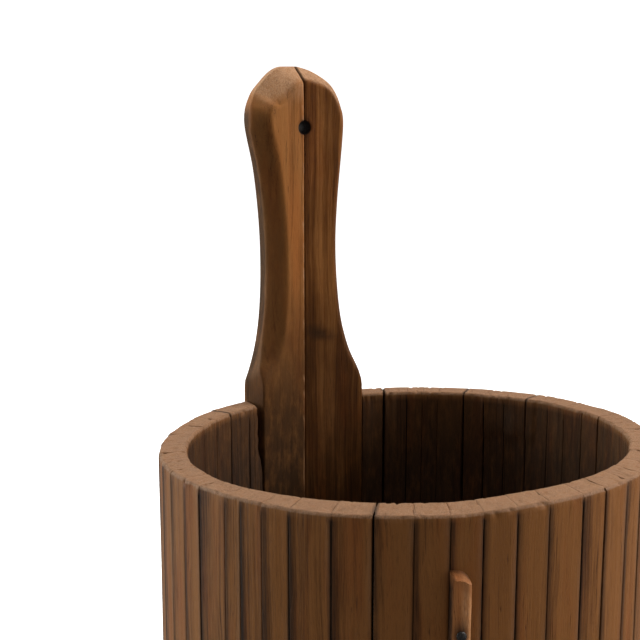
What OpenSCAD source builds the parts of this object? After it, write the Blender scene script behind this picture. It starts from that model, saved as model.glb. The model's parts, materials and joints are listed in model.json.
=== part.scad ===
// Staved wooden churn tub with a two-board upright handle.
// The origin is the centre of the base, on the floor. +Z is up, +Y runs towards the handle.

/* [Tub] */
// Outside diameter at the rim
rim_d = 300; // [260:1:340]
// Outside diameter at the base
base_d = 294; // [250:1:340]
// Mean height of the rim above the floor
tub_h = 400; // [340:1:480]
// Thickness of the stave wall
wall = 17; // [12:0.5:22]
// How far the rim is cut out of level
rim_slope = 1.2; // [0:0.1:2]
// Plan direction of the rim's high side
rim_high_dir = -32; // [-180:1:180]

/* [Handle] */
// Width of the left handle board on the rim circle
left_board_w = 39; // [30:0.5:50]
// Width of the right handle board on the rim circle
right_board_w = 48; // [36:0.5:56]
// Radius at the rim of the flat inner faces, at the middle of each board
board_inner_r = 130.5; // [129:0.5:133]
// Outside radius of the boards at the rim
board_outer_r = 152; // [150:0.5:153]
// Height of the handle above the rim
handle_h = 223; // [180:1:260]
// Radius of the hanging hole
hang_hole_r = 4.5; // [3:0.25:6]
// Height of the hanging hole above the rim
hang_hole_z = 183; // [150:1:200]
// Diameter of the blind dowels across the handle joint
board_dowel_d = 8; // [5:0.5:9]
// Length of those dowels
board_dowel_l = 32; // [20:1:36]

/* [Bottom head] */
// Gap from the floor to the head, inside the stave ends
chime = 20; // [12:1:30]
// Thickness of the head boards
head_t = 15; // [12:0.5:20]
// Thickness of the tongue around the head
tongue_t = 8; // [5:0.5:10]
// Depth of the croze, the groove that holds the head
croze = 5; // [3:0.5:7]
// Diameter of the dowels between head boards
head_dowel_d = 6; // [4:0.5:8]
// Length of those dowels
head_dowel_l = 36; // [24:1:44]

/* [Hoops] */
// Width of each hoop band
hoop_w = 28; // [18:1:34]
// Thickness of the hoop iron
hoop_t = 1.5; // [1:0.1:2.5]
// Length of the riveted lap
lap_l = 42; // [32:1:60]
// Diameter of a rivet's shank
rivet_d = 4; // [3:0.5:5]
// Diameter of a rivet's head
rivet_head_d = 8.5; // [6:0.5:10]

/* [Cleat] */
// Width of the cleat
cleat_w = 11; // [8:0.5:16]
// How far the cleat stands proud of the wall
cleat_proud = 8; // [6:0.5:12]
// Height of the cleat
cleat_h = 80; // [60:1:84]
// Height of the cleat's top above the floor
cleat_top = 370; // [366:1:390]
// Plan direction in which the cleat points
cleat_dir = 249.2; // [248:0.1:252]
// Diameter of a cleat nail's shank
nail_d = 2.5; // [2:0.1:3]
// Diameter of a cleat nail's head
nail_head_d = 5.5; // [4:0.5:8]

/* [Hidden] */
$fn = 96;
eps = 0.01;
rim_r = rim_d / 2;
base_r = base_d / 2;
lean = (rim_r - base_r) / tub_h;
handle_top = tub_h + handle_h;
deg_per_mm = 360 / (2 * PI * rim_r);
left_board_a = left_board_w * deg_per_mm;
right_board_a = right_board_w * deg_per_mm;

// Stave widths on the rim circle, anticlockwise from the left handle board.
// The last stave closes the ring, so it isn't in the list.
stave_w = [
    13.5, 21, 19, 20, 23, 22, 24, 21.5, 19.5, 19, 18, 22.5, 11.5, 15, 17, 24, 22.5, 21, 19,
    17.5, 19, 19, 23, 18, 21, 17, 20, 24, 19, 16, 21, 18, 22, 20, 19, 17, 19.5, 19, 17, 17,
    20.5, 12, 12, 17.5
];
stave_n = len(stave_w) + 1;

// Half-widths of the handle outline, [half-width, height above the rim], from shoulder to crown
left_outline = [
    [41, 0], [40, 10], [35, 22], [30, 38], [26.5, 60], [25.2, 88],
    [26.3, 120], [30.5, 155], [37.5, 187], [33.4, 203.5], [24.4, 213.7],
    [18, 219.2], [12, 222.2], [6, 223], [0, 223]
];
right_outline = [
    [48, -4], [42.5, 6], [39.5, 18], [32.5, 36], [27, 60], [24.2, 98],
    [25.5, 135], [29.5, 182], [27.5, 197], [21.5, 210], [10, 219.5], [0, 223]
];

head_board_w = [64, 76, 68];
head_dowel_x = 60;
board_dowel_z = [120, 320, 450, 545];
board_dowel_y = (board_inner_r + board_outer_r) / 2;

hoop_z = [22, 130, 240];
hoop_lap_dir = [20, 150, 305];
rivet_step = 9;
rivet_head_h = 2.2;

nail_z = [cleat_top - 33, cleat_top - 65];
nail_sink = 10;
nail_head_h = 1;
cleat_round = 4;

flush_z = hoop_z[2] + hoop_w + 2;
chiv_h = chime + head_t + 25;

// Radius of the outside of the wall at a height
function outer_r(z) = rim_r - lean * (tub_h - z);
// Radius of the inside of the wall at a height
function inner_r(z) = outer_r(z) - wall;
// Sum of the first n entries of a list
function first_sum(v, n) = n == 0 ? 0 : v[n - 1] + first_sum(v, n - 1);
// Plan angle at which stave i starts
function stave_a(i) = 90 + left_board_a + first_sum(stave_w, i) * deg_per_mm;
// Plan angle at which stave i ends
function stave_end(i) = i == stave_n - 1 ? 450 - right_board_a : stave_a(i + 1);
function two_digits(i) = i < 10 ? str("0", i) : str(i);
function stave_name(i) = str("stave_", two_digits(i + 1));

// Point at parameter t on the smooth curve through b and c, with a and d beside them
function curve_point(a, b, c, d, t) =
    (2 * b + (c - a) * t + (2 * a - 5 * b + 4 * c - d) * t * t
     + (3 * b - a - 3 * c + d) * t * t * t) / 2;
// Smooth curve through a list of points, with n steps between each pair
function smooth(p, n) = [
    for (i = [0 : len(p) - 2], k = [0 : n - 1])
        curve_point(p[max(i - 1, 0)], p[i], p[i + 1], p[min(i + 2, len(p) - 1)], k / n),
    p[len(p) - 1]
];
// Quarter round from [x, y + r] to [x + r, y]
function quarter(x, y, r) = [for (a = [90 : -15 : 0]) [x + r * cos(a), y + r * sin(a)]];

// Everything above the sloping rim
module above_rim() {
    translate([0, 0, tub_h]) rotate([0, 0, rim_high_dir]) rotate([0, -rim_slope, 0])
        translate([-rim_d, -rim_d, 0]) cube([2 * rim_d, 2 * rim_d, 60]);
}

// The ring that the head's tongue fills
module croze_ring() {
    z = chime + (head_t - tongue_t) / 2;
    r = inner_r(chime + head_t / 2);
    rotate_extrude() polygon([
        [r - croze, z], [r + croze, z], [r + croze, z + tongue_t], [r - croze, z + tongue_t]
    ]);
}

// Shanks of the cleat's nails
module nail_shanks() {
    r = outer_r(cleat_top);
    for (z = nail_z) rotate([0, 0, cleat_dir]) translate([r - nail_sink, 0, z]) rotate([0, 90, 0])
        cylinder(d = nail_d, h = nail_sink + cleat_proud + eps, $fn = 24);
}

// One stave: a sector of the leaning wall, grooved for the head and cut off at the rim
module stave(i) {
    a = stave_a(i);
    color(i % 3 == 0 ? "#8a5a34" : i % 3 == 1 ? "#74482a" : "#5f3a20") difference() {
        rotate([0, 0, a]) rotate_extrude(angle = stave_end(i) - a) polygon([
            [inner_r(0), 0], [outer_r(0), 0],
            [outer_r(tub_h + 10), tub_h + 10], [inner_r(tub_h + 10), tub_h + 10]
        ]);
        above_rim();
        croze_ring();
        if (a < cleat_dir && stave_end(i) > cleat_dir) nail_shanks();
    }
}

// Blind dowels across the joint between the handle boards
module board_dowels() {
    for (z = board_dowel_z)
        translate([-board_dowel_l / 2, board_dowel_y - lean * (tub_h - z), z]) rotate([0, 90, 0])
            cylinder(d = board_dowel_d, h = board_dowel_l, $fn = 32);
}

// The wall's sector that a handle board fills, before its face is flattened and its outline cut
module board_blank(a, w) {
    z = handle_top + 2;
    rotate([0, 0, a]) rotate_extrude(angle = w) polygon([
        [100, 0], [outer_r(0), 0], [outer_r(flush_z), flush_z],
        [board_outer_r, tub_h], [board_outer_r + lean * (z - tub_h), z], [100, z]
    ]);
}

// The room inside a board's flat face, which leans with the wall
module inside_face(a) {
    h = handle_top + 10;
    rotate([0, 0, a]) translate([board_inner_r - lean * tub_h, -60, 0])
        rotate([0, atan(lean), 0]) translate([-60, 0, -5]) cube([60, 120, h + 10]);
}

// One handle board. side is 1 for the right board and -1 for the left.
module handle_board(side, a, w, outline) {
    lift = [for (p = smooth(outline, 5)) [side * p[0], tub_h + p[1]]];
    foot = outline[0][1] + tub_h;
    difference() {
        intersection() {
            board_blank(a, w);
            translate([0, rim_r + 30, 0]) rotate([90, 0, 0]) linear_extrude(height = 90) polygon(
                concat([[0, 0], [side * 60, 0], [side * 60, foot]], lift)
            );
        }
        inside_face(a + w / 2);
        cylinder(r1 = inner_r(0), r2 = inner_r(chiv_h), h = chiv_h, $fn = 180);
        croze_ring();
        board_dowels();
        translate([0, rim_r + 30, tub_h + hang_hole_z]) rotate([90, 0, 0])
            cylinder(r = hang_hole_r, h = 80, $fn = 48);
    }
}

module handle_board_left() {
    color("#7a4d2c") handle_board(-1, 90, left_board_a, left_outline);
}

module handle_board_right() {
    color("#5a361d") handle_board(1, 90 - right_board_a, right_board_a, right_outline);
}

module handle_dowels() {
    color("#a57b4b") board_dowels();
}

// Dowels across the joints between the head boards
module head_pins() {
    for (i = [1 : len(head_board_w)], x = [-head_dowel_x, head_dowel_x])
        translate([x, head_y(i) + head_dowel_l / 2, chime + head_t / 2]) rotate([90, 0, 0])
            cylinder(d = head_dowel_d, h = head_dowel_l, $fn = 24);
}

head_r = inner_r(chime + head_t / 2) + croze;
// Where head board i starts, across the head
function head_y(i) = i > len(head_board_w) ? head_r : -head_r + first_sum(head_board_w, i);

// One board of the round bottom head, with its edge thinned to a tongue
module head_board(i) {
    r = head_r - croze;
    step = (head_t - tongue_t) / 2;
    color("#6b4426") difference() {
        intersection() {
            rotate_extrude() polygon([
                [0, chime], [r - step * 2, chime], [r - 0.4, chime + step], [head_r, chime + step],
                [head_r, chime + step + tongue_t], [r - 0.4, chime + step + tongue_t],
                [r - step * 2, chime + head_t], [0, chime + head_t]
            ]);
            translate([-rim_r, head_y(i), 0])
                cube([rim_d, head_y(i + 1) - head_y(i), chime + head_t + 5]);
        }
        head_pins();
    }
}

module head_dowels() {
    color("#a57b4b") head_pins();
}

// Height of rivet row k above a hoop's lower edge
function rivet_z(k) = hoop_w * (k == 0 ? 0.28 : 0.72);

// Places its children at each rivet of hoop h, looking outwards along +X from the wall
module at_rivets(h) {
    for (s = [-1, 1], k = [0, 1])
        rotate([0, 0, hoop_lap_dir[h] + s * rivet_step * deg_per_mm])
            translate([outer_r(hoop_z[h] + rivet_z(k)), 0, hoop_z[h] + rivet_z(k)])
                rotate([0, 90, 0]) children();
}

// A ring of thickness t that lies on the leaning wall from z0 to z1
module band(z0, z1, t) {
    rotate_extrude($fn = 180) polygon([
        [outer_r(z0), z0], [outer_r(z0) + t, z0],
        [outer_r(z1) + t, z1], [outer_r(z1), z1]
    ]);
}

// One hoop: an iron band that is twice as thick where its ends lap and are riveted
module hoop(h) {
    z0 = hoop_z[h];
    z1 = z0 + hoop_w;
    color("#3f3a36") difference() {
        union() {
            band(z0, z1, hoop_t);
            intersection() {
                band(z0, z1, 2 * hoop_t);
                rotate([0, 0, hoop_lap_dir[h]]) translate([0, -lap_l / 2, 0])
                    cube([rim_d, lap_l, tub_h]);
            }
        }
        at_rivets(h) translate([0, 0, -5]) cylinder(d = rivet_d, h = 20, $fn = 24);
    }
}

// A rivet: a shank through the lap and a domed head on it
module rivet() {
    top = 2 * hoop_t + 0.1;
    cap_r = (pow(rivet_head_d / 2, 2) + pow(rivet_head_h, 2)) / (2 * rivet_head_h);
    translate([0, 0, 0.1]) cylinder(d = rivet_d, h = top, $fn = 24);
    translate([0, 0, top]) intersection() {
        translate([0, 0, rivet_head_h - cap_r]) sphere(r = cap_r, $fn = 48);
        cylinder(d = rivet_head_d + 1, h = rivet_head_h + 1, $fn = 32);
    }
}

module hoop_rivets() {
    color("#4a443f") for (h = [0 : len(hoop_z) - 1]) at_rivets(h) rivet();
}

// The upright cleat on the front, with a rounded top and a back that fits the wall
module cleat() {
    r0 = outer_r(cleat_top) - 4;
    r1 = outer_r(cleat_top) + cleat_proud;
    foot = cleat_top - cleat_h;
    round_x = r1 - cleat_round;
    color("#9a5c30") difference() {
        rotate([0, 0, cleat_dir]) translate([0, cleat_w / 2, 0]) rotate([90, 0, 0])
            linear_extrude(height = cleat_w) polygon(concat(
                [[r0, cleat_top]], quarter(round_x, cleat_top - cleat_round, cleat_round),
                [[r1, foot + 5], [r1 - 5, foot], [r0, foot]]
            ));
        cylinder(r1 = outer_r(0), r2 = outer_r(tub_h), h = tub_h, $fn = 180);
        nail_shanks();
    }
}

module cleat_nails() {
    r = outer_r(cleat_top) + cleat_proud;
    color("#3a3632") {
        nail_shanks();
        for (z = nail_z) rotate([0, 0, cleat_dir]) translate([r, 0, z]) rotate([0, 90, 0])
            cylinder(d = nail_head_d, h = nail_head_h, $fn = 32);
    }
}

for (i = [0 : stave_n - 1]) stave(i);
handle_board_left();
handle_board_right();
handle_dowels();
head_board(0);  // head_board_1
head_board(1);  // head_board_2
head_board(2);  // head_board_3
head_board(3);  // head_board_4
head_dowels();
hoop(0);  // hoop_bottom
hoop(1);  // hoop_middle
hoop(2);  // hoop_top
hoop_rivets();
cleat();
cleat_nails();
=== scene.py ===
import json
import math
import random

import bmesh
import bpy
import numpy as np
from mathutils import Matrix, Vector, noise


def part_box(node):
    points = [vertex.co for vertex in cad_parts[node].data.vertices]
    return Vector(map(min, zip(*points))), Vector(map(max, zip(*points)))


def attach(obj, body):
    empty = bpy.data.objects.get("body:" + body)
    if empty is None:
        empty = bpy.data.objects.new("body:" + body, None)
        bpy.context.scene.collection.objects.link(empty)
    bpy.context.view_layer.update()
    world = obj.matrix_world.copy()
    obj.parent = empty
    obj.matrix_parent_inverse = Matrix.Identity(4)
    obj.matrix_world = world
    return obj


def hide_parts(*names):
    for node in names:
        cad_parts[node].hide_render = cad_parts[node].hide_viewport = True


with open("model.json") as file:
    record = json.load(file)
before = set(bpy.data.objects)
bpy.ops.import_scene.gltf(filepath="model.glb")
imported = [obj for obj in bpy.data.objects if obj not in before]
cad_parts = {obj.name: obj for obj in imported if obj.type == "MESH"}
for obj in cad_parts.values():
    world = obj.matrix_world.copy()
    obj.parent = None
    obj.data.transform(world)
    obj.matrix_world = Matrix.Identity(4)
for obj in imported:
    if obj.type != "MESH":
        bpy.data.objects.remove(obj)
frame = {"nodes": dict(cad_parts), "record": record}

# Looks of a coopered churn tub with a tall handle of two boards. All mesh code works in millimetres,
# in the frame's axes: the origin is the centre of the base, +Z is up and +Y runs towards the handle.
# Plan angles run anticlockwise from +X, seen from above.

MM = 0.001
random.seed(436)
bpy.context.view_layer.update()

# -------- driving sizes, from the frame


def cad_points(name):
    """The corners of a CAD node's mesh, in millimetres."""
    return np.array([v.co for v in frame["nodes"][name].data.vertices], float) / MM


def span(name, axis):
    """Lowest and highest coordinate of a CAD node along an axis, in millimetres."""
    low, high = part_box(name)
    return low[axis] / MM, high[axis] / MM


def plan_angles(points):
    """Plan angle of each point in degrees, with no jump inside the node."""
    middle = points[:, :2].mean(axis=0)
    around = math.degrees(math.atan2(middle[1], middle[0])) % 360
    angles = np.degrees(np.arctan2(points[:, 1], points[:, 0]))
    return around + (angles - around + 180) % 360 - 180


def radii(points):
    return np.hypot(points[:, 0], points[:, 1])


X, Y, Z = 0, 1, 2
# Height of the rim's plane on the tub's axis
TUB_H = 400
stave_points = cad_points("stave_10")
stave_foot = stave_points[stave_points[:, Z] < 1]
RIM_R = radii(stave_points).max()
BASE_R = radii(stave_foot).max()
WALL = BASE_R - radii(stave_foot).min()
# How much the wall's radius grows for each millimetre of height
LEAN = (RIM_R - BASE_R) / TUB_H
# The rim's plane rises by this slope towards this plan direction
RIM_SLOPE = math.tan(math.radians(1.2))
RIM_HIGH_DIR = math.radians(-32)
# How far the hand-cut rim stands above its plane: plan angle, lift
RIM_LIFT = [
    (0, 1.7), (20, 1.6), (38, 1.2), (60, 0.5), (80, 0.4), (104, 2.2), (118, 1.7), (138, 0.4), (160, 0.3),
    (190, 0.4), (220, 0.4), (250, 0.6), (256, 1.1), (264, 2.2), (280, 2.4), (320, 2.0), (360, 1.7),
]
# How much lower the rim's outer edge is than its inner edge, round the front
FRONT_FALL = 2.8

HOOPS = ("hoop_bottom", "hoop_middle", "hoop_top")
HANDLE_TOP = span("handle_board_left", Z)[1]
# The handle boards at the rim: distance of the flat inner face from the axis, radius of the outer face
BOARD_INNER_R = 130.5
BOARD_OUTER_R = 152
# Up to this height the boards' outer face is flush with the staves
FLUSH_Z = span("hoop_top", Z)[1] + 2
LEFT_EDGE_A = plan_angles(cad_points("handle_board_left")).max()
RIGHT_EDGE_A = plan_angles(cad_points("handle_board_right")).min()
HANG_HOLE = next(m for m in frame["record"]["mounts"] if m["name"] == "hang_hole")
HOLE_Z = HANG_HOLE["pos_m"][2] / MM
HOLE_R = HANG_HOLE["dims"]["r_mm"]

# Outline of each handle board from shoulder to crown: distance from the middle joint, height above the rim
LEFT_OUTLINE = [
    (41, 0), (40, 10), (35, 22), (30, 38), (26.5, 60), (25.2, 88),
    (26.3, 120), (30.5, 155), (37.5, 187), (33.4, 203.5), (24.4, 213.7),
    (18, 219.2), (12, 222.2), (6, 223), (0, 223),
]
RIGHT_OUTLINE = [
    (48, -4), (42.5, 6), (39.5, 18), (32.5, 36), (27, 60), (24.2, 98),
    (25.5, 135), (29.5, 182), (27.5, 197), (21.5, 210), (10, 219.5), (0, 223),
]


# -------- small mathematics


def smoothstep(start, end, x):
    t = np.clip((np.asarray(x, float) - start) / (end - start), 0, 1)
    return t * t * (3 - 2 * t)


def spot(x, z, at_x, at_z, size_x, size_z):
    """A soft elliptic spot: 1 at its middle, 0.37 at its size."""
    return np.exp(-(((x - at_x) / size_x) ** 2) - ((z - at_z) / size_z) ** 2)


def wobble(points, length, seed=0.0):
    """Smooth noise from about -1 to 1. length is the size of its features along each axis."""
    q = points / np.asarray(length, float) + seed
    return np.array([noise.noise(Vector(p)) for p in q])


def smooth_outline(points, steps):
    """Catmull-Rom curve through the outline's points."""
    p = np.array(points, float)
    out = []
    for i in range(len(p) - 1):
        a, b, c, d = p[max(i - 1, 0)], p[i], p[i + 1], p[min(i + 2, len(p) - 1)]
        bend = 2 * a - 5 * b + 4 * c - d
        twist = 3 * b - a - 3 * c + d
        for k in range(steps):
            t = k / steps
            out.append((2 * b + (c - a) * t + bend * t**2 + twist * t**3) / 2)
    return np.array(out + [p[-1]])


def outline_distance(x, z, outline):
    """Distance from each point to the outline, and how much the outline faces up there."""
    best = np.full(x.shape, 1e9)
    up = np.zeros(x.shape)
    for (ax, az), (bx, bz) in zip(outline[:-1], outline[1:]):
        dx, dz = bx - ax, bz - az
        length2 = dx * dx + dz * dz
        t = np.clip(((x - ax) * dx + (z - az) * dz) / length2, 0, 1)
        d = np.hypot(x - ax - t * dx, z - az - t * dz)
        closer = d < best
        best = np.where(closer, d, best)
        up = np.where(closer, abs(dx) / math.sqrt(length2), up)
    return best, up


# -------- the tub's surfaces


def outer_r(z):
    """Radius of the wall's outer face."""
    return RIM_R - LEAN * (TUB_H - z)


def rim_z(x, y):
    """Height of the sloping, hand-cut rim over a plan point."""
    angle = np.degrees(np.arctan2(y, x)) % 360
    lift = np.interp(angle, [a for a, _ in RIM_LIFT], [up for _, up in RIM_LIFT])
    return TUB_H + lift + RIM_SLOPE * (x * math.cos(RIM_HIGH_DIR) + y * math.sin(RIM_HIGH_DIR))


def front_fall(degrees):
    """How much the rim falls from its inner to its outer edge at a plan angle."""
    return FRONT_FALL * smoothstep(192, 225, degrees) * smoothstep(345, 315, degrees)


def board_outer(z):
    """Radius of the handle boards' outer face, which swells above the top hoop."""
    flush = outer_r(FLUSH_Z)
    swelling = flush + (BOARD_OUTER_R - flush) * np.clip((z - FLUSH_Z) / (TUB_H - FLUSH_Z), 0, 1)
    return np.where(z < FLUSH_Z, outer_r(z), swelling + LEAN * np.clip(z - TUB_H, 0, None))


def hoop_stain(z):
    """Rust and dirt along both edges of each hoop."""
    stain = np.zeros_like(z)
    for name in HOOPS:
        low, high = span(name, Z)
        stain = np.maximum(stain, smoothstep(low - 7, low, z) * smoothstep(high + 7, high, z))
    return stain


# -------- meshes made of sections


def block_section(width, depth, arris, face_n, side_n):
    """Loops round a rounded rectangle, one for each entry of width, depth and arris.

    Each runs across the near face, through the right side, back across the far face and
    through the left side. A rounded corner has two points of its own.
    """
    w, d, r = (np.asarray(v, float).reshape(-1, 1) for v in (width, depth, arris))
    f, s = np.linspace(0, 1, face_n + 1), np.linspace(0, 1, side_n + 1)
    corner = np.radians([30, 60])
    sin, cos = np.sin(corner), np.cos(corner)
    x = [r + (w - 2 * r) * f, w - r + r * sin, w + 0 * s, w - r + r * cos]
    x += [w - r - (w - 2 * r) * f, r - r * sin, 0 * w + 0 * s, r - r * cos]
    y = [0 * w + 0 * f, r - r * cos, r + (d - 2 * r) * s, d - r + r * sin]
    y += [d + 0 * f, d - r + r * cos, d - r - (d - 2 * r) * s, r - r * sin]
    return np.hstack(x), np.hstack(y)


def side_points(side_n):
    """How many points a block section has on one side, with the two corners next to it."""
    return side_n + 5


def grid_cap(loop, start, face_n, side_n, count):
    """Fills one end of a block with a grid.

    start is the number of the loop's first vertex, and count the number of the next free vertex.
    """
    on_side = side_points(side_n)
    far_start = face_n + 1 + on_side
    near = [start + k for k in range(face_n + 1)]
    right = [start + face_n + 1 + j for j in range(on_side)]
    far = [start + far_start + k for k in range(face_n + 1)][::-1]
    left = [start + len(loop) - 1 - j for j in range(on_side)]
    base = loop[face_n]
    reach = np.linalg.norm(loop[far_start] - base)
    points, rows = [], [near]
    for j in range(on_side):
        share = np.linalg.norm(loop[right[j] - start] - base) / reach
        row = [left[j]]
        for k in range(1, face_n):
            row.append(count + len(points))
            points.append(loop[near[k] - start] * (1 - share) + loop[far[k] - start] * share)
        rows.append(row + [right[j]])
    rows.append(far)
    faces = [
        (rows[j][k], rows[j][k + 1], rows[j + 1][k + 1], rows[j + 1][k])
        for j in range(len(rows) - 1)
        for k in range(face_n)
    ]
    return points, faces


def skin(levels, n):
    """Quads between each loop of n points and the next one."""
    faces = []
    for i in range(levels - 1):
        for k in range(n):
            a, b = i * n + k, i * n + (k + 1) % n
            faces.append((a, b, b + n, a + n))
    return faces


def block(sections, face_n, side_n):
    """A closed block over sections that share block_section's layout. Returns its vertices and faces."""
    levels, n = sections.shape[:2]
    verts = sections.reshape(-1, 3)
    low, low_faces = grid_cap(sections[0], 0, face_n, side_n, len(verts))
    verts = np.vstack([verts, low])
    high, high_faces = grid_cap(sections[-1], (levels - 1) * n, face_n, side_n, len(verts))
    verts = np.vstack([verts, high])
    return verts, skin(levels, n) + [f[::-1] for f in low_faces] + high_faces


def strip(sections):
    """A closed strip over plain loops, with a flat face at each end."""
    levels, n = sections.shape[:2]
    ends = [tuple(range(n))[::-1], tuple(range((levels - 1) * n, levels * n))]
    return sections.reshape(-1, 3), ends + skin(levels, n)


def lathe(profile, steps, rough, seed):
    """Turns a profile of (radius, height) round +Z, a little out of true."""
    verts = []
    for r, z in profile:
        for k in range(steps):
            a = 2 * math.pi * k / steps
            bump = noise.noise(Vector((math.cos(a) * 1.3, math.sin(a) * 1.3, z * 0.7 + seed)))
            uneven = r * (1 + rough * bump)
            verts.append((uneven * math.cos(a), uneven * math.sin(a), z))
    ends = [tuple(range(steps))[::-1], tuple(range((len(profile) - 1) * steps, len(profile) * steps))]
    return np.array(verts), skin(len(profile), steps) + ends


def standing_out(verts, direction, z):
    """Stands a lathed piece on the wall's outer face at height z, with its +Z along a plan direction."""
    out = (math.cos(direction), math.sin(direction), 0)
    turn = Vector((0, 0, 1)).rotation_difference(Vector(out)).to_matrix()
    origin = np.array(out) * outer_r(z) + (0, 0, z)
    return np.array([np.array(turn @ Vector(v)) for v in verts]) + origin


def joined(parts):
    """Several meshes as one: the vertices and faces of all of them."""
    verts, faces = [], []
    for part_verts, part_faces in parts:
        start = sum(len(v) for v in verts)
        faces += [tuple(i + start for i in face) for face in part_faces]
        verts.append(part_verts)
    return np.vstack(verts), faces


def turn_outwards(mesh):
    """Turns every face of a closed mesh outwards."""
    bm = bmesh.new()
    bm.from_mesh(mesh)
    bmesh.ops.recalc_face_normals(bm, faces=bm.faces)
    bm.to_mesh(mesh)
    bm.free()


def add_layer(mesh, name, values):
    """Gives a mesh a value or a vector for every vertex, which its material reads by name."""
    values = np.asarray(values, np.float32)
    is_vector = values.ndim == 2
    layer = mesh.attributes.new(name, "FLOAT_VECTOR" if is_vector else "FLOAT", "POINT")
    layer.data.foreach_set("vector" if is_vector else "value", values.ravel())


def add_piece(node, verts, faces, material, slot, **layers):
    """Makes the finished piece of one CAD node from millimetre points, with its layers."""
    mesh = bpy.data.meshes.new(node + "_detail")
    mesh.from_pydata([tuple(v) for v in np.asarray(verts) * MM], [], faces)
    for name, values in layers.items():
        add_layer(mesh, name, values)
    mesh.polygons.foreach_set("use_smooth", [True] * len(mesh.polygons))
    mesh.materials.append(material)
    mesh.update()
    turn_outwards(mesh)
    piece = bpy.data.objects.new(node + "_detail", mesh)
    bpy.context.scene.collection.objects.link(piece)
    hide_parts(node)
    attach(piece, "root")


# -------- materials


class Tree:
    """Short calls for building one node material."""

    def __init__(self, name):
        self.material = bpy.data.materials.new(name)
        self.material.use_nodes = True
        self.tree = self.material.node_tree
        self.shader = self.tree.nodes["Principled BSDF"]

    def add(self, kind, inputs, **settings):
        made = self.tree.nodes.new(kind)
        for key, value in settings.items():
            setattr(made, key, value)
        for key, value in inputs.items():
            if isinstance(value, bpy.types.NodeSocket):
                self.tree.links.new(value, made.inputs[key])
            else:
                made.inputs[key].default_value = value
        return made

    def layer(self, name, output="Fac"):
        return self.add("ShaderNodeAttribute", {}, attribute_name=name).outputs[output]

    def math(self, operation, a, b=0.0, clamp=False):
        made = self.add("ShaderNodeMath", {0: a, 1: b}, operation=operation, use_clamp=clamp)
        return made.outputs[0]

    def times(self, a, b):
        return self.math("MULTIPLY", a, b)

    def sum(self, *values):
        total = values[0]
        for value in values[1:]:
            total = self.math("ADD", total, value)
        return total

    def scaled(self, vector, by):
        return self.add("ShaderNodeVectorMath", {0: vector, 1: by}, operation="MULTIPLY").outputs[0]

    def moved(self, vector, by):
        return self.add("ShaderNodeVectorMath", {0: vector, 1: by}, operation="ADD").outputs[0]

    def noise(self, vector, cells, detail=3.0, roughness=0.55):
        """Noise with so many cells in a millimetre along each axis."""
        inputs = {"Vector": self.scaled(vector, cells), "Scale": 1.0}
        inputs.update({"Detail": detail, "Roughness": roughness})
        return self.add("ShaderNodeTexNoise", inputs).outputs["Fac"]

    def window(self, value, low, high, to_low=0.0, to_high=1.0):
        """Maps low..high smoothly to to_low..to_high."""
        inputs = {0: value, 1: low, 2: high, 3: to_low, 4: to_high}
        return self.add("ShaderNodeMapRange", inputs, interpolation_type="SMOOTHSTEP").outputs[0]

    def mix(self, share, a, b, blend="MIX"):
        inputs = {0: share, 6: a, 7: b}
        return self.add("ShaderNodeMix", inputs, data_type="RGBA", blend_type=blend).outputs[2]

    def ramp(self, value, stops):
        made = self.add("ShaderNodeValToRGB", {0: value})
        elements = made.color_ramp.elements
        while len(elements) < len(stops):
            elements.new(0.5)
        for element, (place, color) in zip(elements, stops):
            element.position = place
            element.color = (*color, 1)
        return made.outputs[0]

    def finish(self, color, roughness, height, bump_mm, strength):
        self.tree.links.new(color, self.shader.inputs["Base Color"])
        self.tree.links.new(roughness, self.shader.inputs["Roughness"])
        inputs = {"Height": height, "Distance": bump_mm * MM, "Strength": strength}
        bump = self.add("ShaderNodeBump", inputs)
        self.tree.links.new(bump.outputs[0], self.shader.inputs["Normal"])
        return self.material


# Where each of a wood's four colours sits on its ramp, from dark to light
WOOD_STOPS = (0.0, 0.3, 0.6, 1.0)
# Colours that darken the wood: a redder cast, two of dirt and painted shade, one of pores and one of
# drying checks
REDDER = (1.0, 0.74, 0.55, 1)
DIRT_AND_SHADE_TINT = (0.07, 0.07, 0.08, 1)
DIRT_AND_SHADE_COLOR = (0.022, 0.015, 0.0095, 1)
PORE = (0.3, 0.24, 0.2, 1)
CHECK = (0.12, 0.09, 0.07, 1)


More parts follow.
